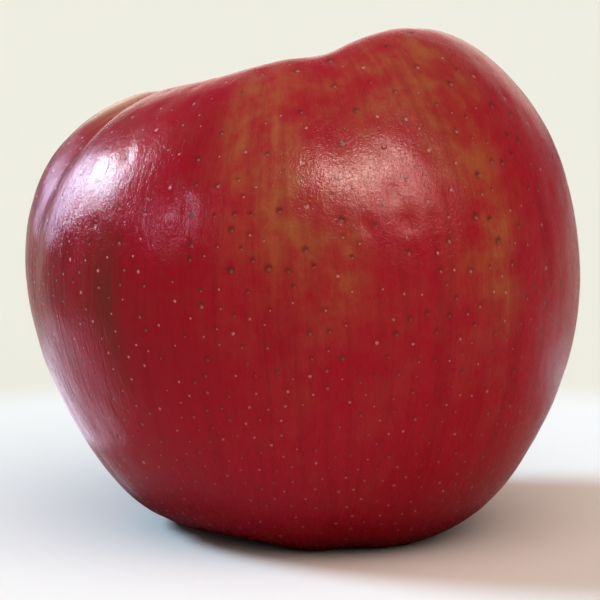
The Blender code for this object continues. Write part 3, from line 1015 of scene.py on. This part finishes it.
def calyx_cup():
    """Woody cup that the sepals grow from, centred on the axis."""
    cup = bmesh.new()
    bmesh.ops.create_cone(
        cup, cap_ends=True, segments=CUP_SIDES, radius1=CUP_FOOT_RADIUS, radius2=CUP_TOP_RADIUS, depth=CUP_DEPTH,
    )
    return as_mesh(cup, "calyx_cup")


def husk_material(colours):
    """Dry dark husk with pale down."""
    material, tree, shader = new_material("calyx_husk_dry")
    place = node(tree, "ShaderNodeTexCoord").outputs["Object"]
    fibre = grain(tree, place, 1500.0, 900.0, 3.0)
    fleck = speckle(tree, place, 0.45 * MM, 0.6)
    colour = blend(tree, times(tree, fibre["Mask"], 0.7), colours.husk, HUSK_RIB)
    colour = blend(tree, times(tree, fleck, 0.6), colour, colours.down)
    tree.links.new(colour, shader.inputs["Base Color"])
    shader.inputs["Roughness"].default_value = 0.85
    relief(tree, shader, fibre["Height"], 0.7, 0.1 * MM)
    return material


class APPLE_OT_skin(bpy.types.Operator):
    """Build the fruit's skin with its lobes, dents and lenticels"""

    bl_idname = "apple.skin"
    bl_label = "Build skin"

    def execute(self, context):
        settings = context.scene.apple_skin
        cage = skin_cage(settings.segments, settings.rings)
        dimples = dimple_points(settings)
        grow("apple_skin", cage, skin_tree(dimples), settings, skin_material(settings), "apple_body")
        bpy.data.objects.remove(dimples, do_unlink=True)
        return {"FINISHED"}


class APPLE_OT_stem(bpy.types.Operator):
    """Build the ridged woody stem in the cavity"""

    bl_idname = "apple.stem"
    bl_label = "Build stem"

    def execute(self, context):
        settings = context.scene.apple_stem
        grow("stem_bark", stem_line(settings), stem_tree(), settings, bark_material(settings), "stem")
        return {"FINISHED"}


class APPLE_OT_calyx(bpy.types.Operator):
    """Build the dried calyx in the basin underneath"""

    bl_idname = "apple.calyx"
    bl_label = "Build calyx"

    def execute(self, context):
        settings = context.scene.apple_calyx
        blade = sepal_blade(settings)
        piece = grow("calyx_husk", calyx_cup(), calyx_tree(blade), settings, husk_material(settings), "calyx")
        bpy.data.objects.remove(blade, do_unlink=True)
        low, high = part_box("calyx")
        centre = (low + high) / 2.0
        for vertex in piece.data.vertices:
            vertex.co += Vector((centre.x, centre.y, high.z - CUP_SINK))
        return {"FINISHED"}


def aimed(name, light, direction, distance):
    """Place a light so that it looks at the fruit from one direction."""
    item = as_object(name, light)
    item.location = LIGHT_AIM + Vector(direction).normalized() * distance
    item.rotation_euler = (LIGHT_AIM - item.location).to_track_quat("-Z", "Y").to_euler()
    item.visible_camera = False
    return item


def daylight(name, direction, strength, spread, colour):
    """Even light from one side, which shows in no reflection."""
    light = bpy.data.lights.new(name, "SUN")
    light.energy = strength
    light.angle = math.radians(spread)
    light.color = colour
    item = aimed(name, light, direction, 1.0)
    item.visible_glossy = False
    return item


def soft_box(name, direction, distance, size, power, colour):
    """A rectangular light that only shows as a reflection in the skin."""
    light = bpy.data.lights.new(name, "AREA")
    light.shape = "RECTANGLE"
    light.size, light.size_y = size
    light.energy = power
    light.color = colour
    item = aimed(name, light, direction, distance)
    item.visible_diffuse = False
    return item


def studio_floor():
    """A wide round floor at the height that the fruit rests on."""
    disc = bmesh.new()
    bmesh.ops.create_circle(disc, cap_ends=True, segments=FLOOR_SIDES, radius=FLOOR_RADIUS)
    return as_object("studio_floor", as_mesh(disc, "studio_floor"))


def floor_material(settings):
    """Plain pale floor that turns from neutral by the fruit into the backdrop's cream."""
    material, tree, shader = new_material("studio_paper")
    away = vector(tree, "LENGTH", node(tree, "ShaderNodeTexCoord").outputs["Object"])
    paper = blend(tree, ramp(tree, away, *FLOOR_TURN), settings.floor, settings.backdrop)
    mirrored = node(tree, "ShaderNodeLightPath").outputs["Is Glossy Ray"]
    shade = times(tree, ramp(tree, away, *FLOOR_SHADE, 0.20, 1.0), mirrored)
    paper = blend(tree, times(tree, shade, 0.85), paper, SHADE_RED)
    tree.links.new(paper, shader.inputs["Base Color"])
    shader.inputs["Roughness"].default_value = 1.0
    shader.inputs["Specular IOR Level"].default_value = 0.0
    return material


def studio_air(settings):
    """Warm fill light all round, with the backdrop's colour where the camera looks past the floor."""
    world = bpy.data.worlds.new("studio_air")
    world.use_nodes = True
    tree = world.node_tree
    path = node(tree, "ShaderNodeLightPath").outputs
    light = blend(tree, path["Is Glossy Ray"], settings.fill, settings.sheen)
    seen = blend(tree, path["Is Camera Ray"], light, settings.backdrop)
    tree.links.new(seen, tree.nodes["Background"].inputs["Color"])
    tree.nodes["Background"].inputs["Strength"].default_value = 1.0
    return world


class APPLE_OT_stage(bpy.types.Operator):
    """Set the floor, the backdrop, the lights and the camera"""

    bl_idname = "apple.stage"
    bl_label = "Set stage"

    def execute(self, context):
        settings = context.scene.apple_stage
        scene = context.scene
        floor = studio_floor()
        floor.data.materials.append(floor_material(settings))
        for row in DAYLIGHTS:
            daylight(*row)
        for row in SOFT_BOXES:
            soft_box(*row)
        for row in FLOOR_BOXES:
            soft_box(*row).rotation_euler = (math.pi, 0.0, 0.0)
        scene.world = studio_air(settings)
        scene.view_settings.view_transform = "Standard"
        scene.view_settings.look = "Medium High Contrast"
        camera = bpy.data.cameras.new("camera")
        camera.lens = settings.lens
        camera.sensor_width = 36.0
        camera.clip_start = 0.01
        item = as_object("camera", camera)
        item.location = CAMERA_AIM + settings.distance * Vector(
            (0.0, -math.cos(settings.elevation), math.sin(settings.elevation))
        )
        item.rotation_euler = (math.pi / 2.0 - settings.elevation, 0.0, 0.0)
        scene.camera = item
        return {"FINISHED"}


class APPLE_PT_panel(bpy.types.Panel):
    """Lists the steps that build the apple"""

    bl_label = "Apple"
    bl_idname = "APPLE_PT_panel"
    bl_space_type = "VIEW_3D"
    bl_region_type = "UI"
    bl_category = "Apple"

    def draw(self, context):
        scene = context.scene
        for operator, settings in STEPS:
            self.layout.operator(operator.bl_idname)
            group = getattr(scene, settings)
            for name in group.__annotations__:
                self.layout.prop(group, name)


STEPS = (
    (APPLE_OT_skin, "apple_skin"),
    (APPLE_OT_stem, "apple_stem"),
    (APPLE_OT_calyx, "apple_calyx"),
    (APPLE_OT_stage, "apple_stage"),
)
SETTINGS = {
    "apple_skin": SkinSettings,
    "apple_stem": StemSettings,
    "apple_calyx": CalyxSettings,
    "apple_stage": StageSettings,
}


def register():
    """Add the settings, the steps and the panel to Blender"""
    for name, group in SETTINGS.items():
        bpy.utils.register_class(group)
        setattr(bpy.types.Scene, name, PointerProperty(type=group))
    for operator, _ in STEPS:
        bpy.utils.register_class(operator)
    bpy.utils.register_class(APPLE_PT_panel)


def unregister():
    """Take them out again"""
    bpy.utils.unregister_class(APPLE_PT_panel)
    for operator, _ in reversed(STEPS):
        bpy.utils.unregister_class(operator)
    for name, group in reversed(SETTINGS.items()):
        delattr(bpy.types.Scene, name)
        bpy.utils.unregister_class(group)


def main():
    register()
    bpy.ops.apple.skin()
    bpy.ops.apple.stem()
    bpy.ops.apple.calyx()
    bpy.ops.apple.stage()


if __name__ == "__main__":
    main()
